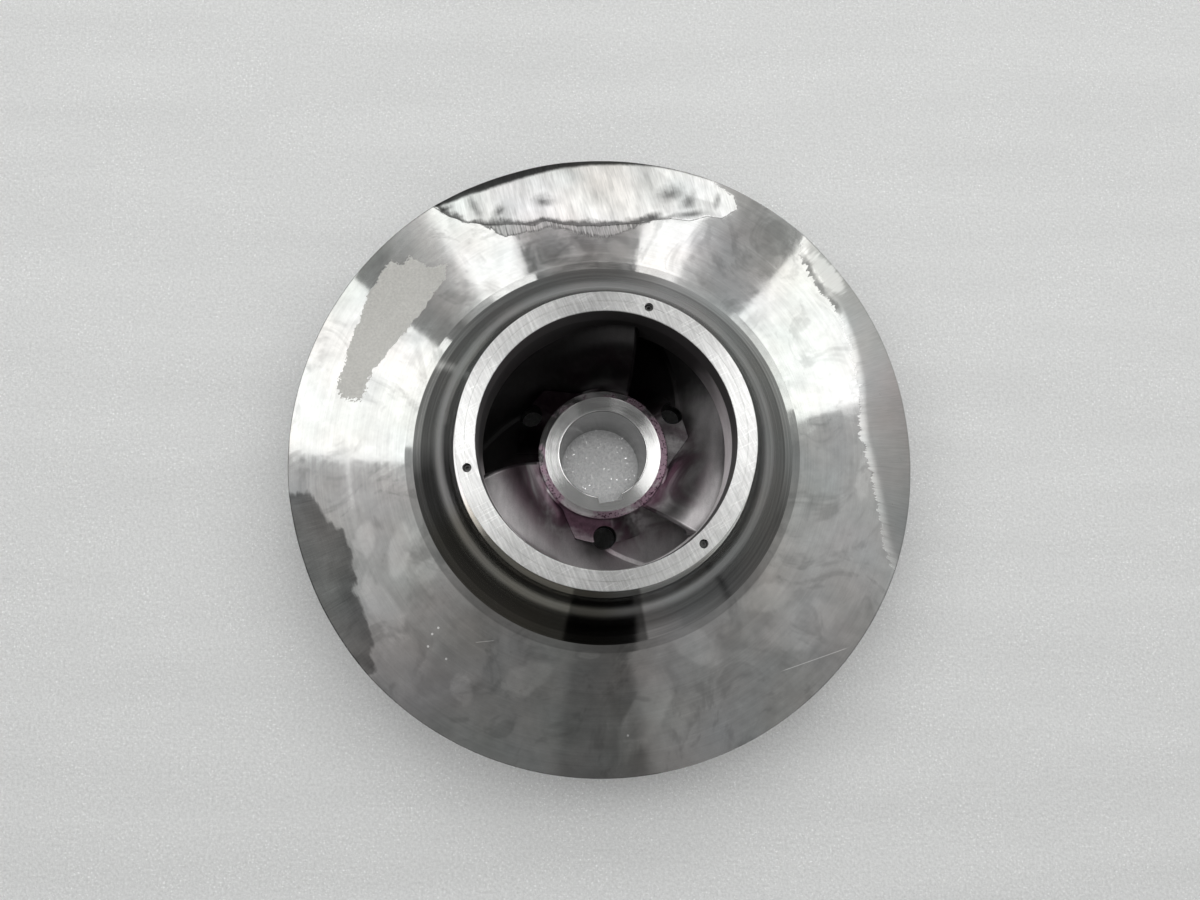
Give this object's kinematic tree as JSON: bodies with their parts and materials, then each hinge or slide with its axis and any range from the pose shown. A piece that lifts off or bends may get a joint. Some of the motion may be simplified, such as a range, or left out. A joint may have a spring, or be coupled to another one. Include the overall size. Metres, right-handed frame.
{
  "type": "closed pump impeller",
  "caption": "Closed radial pump impeller with twisted vanes between two shrouds, a keyed hub bore, wear rings and balance holes.",
  "frame": {"origin": "centre of the hub's back face, on the shaft axis", "axes": "+Z along the shaft axis from the hub's back face towards the suction eye; vanes run outwards anticlockwise seen from the eye"},
  "size_m": [0.32, 0.32, 0.115],
  "materials": {
    "turned_steel": "turned, with circular tool marks and ground patches",
    "cast_steel": "as cast, dull",
    "ring_steel": "faced",
    "screw_steel": "dark"
  },
  "bodies": {
    "root": {"front_shroud": "turned_steel", "back_shroud": "cast_steel", "hub": "turned_steel", "front_wear_ring": "ring_steel", "back_wear_ring": "ring_steel", "vane_1": "cast_steel", "vane_2": "cast_steel", "vane_3": "cast_steel", "front_lock_screw_1": "screw_steel", "front_lock_screw_2": "screw_steel", "front_lock_screw_3": "screw_steel", "back_lock_screw_1": "screw_steel", "back_lock_screw_2": "screw_steel", "back_lock_screw_3": "screw_steel"}
  },
  "joints": []
}
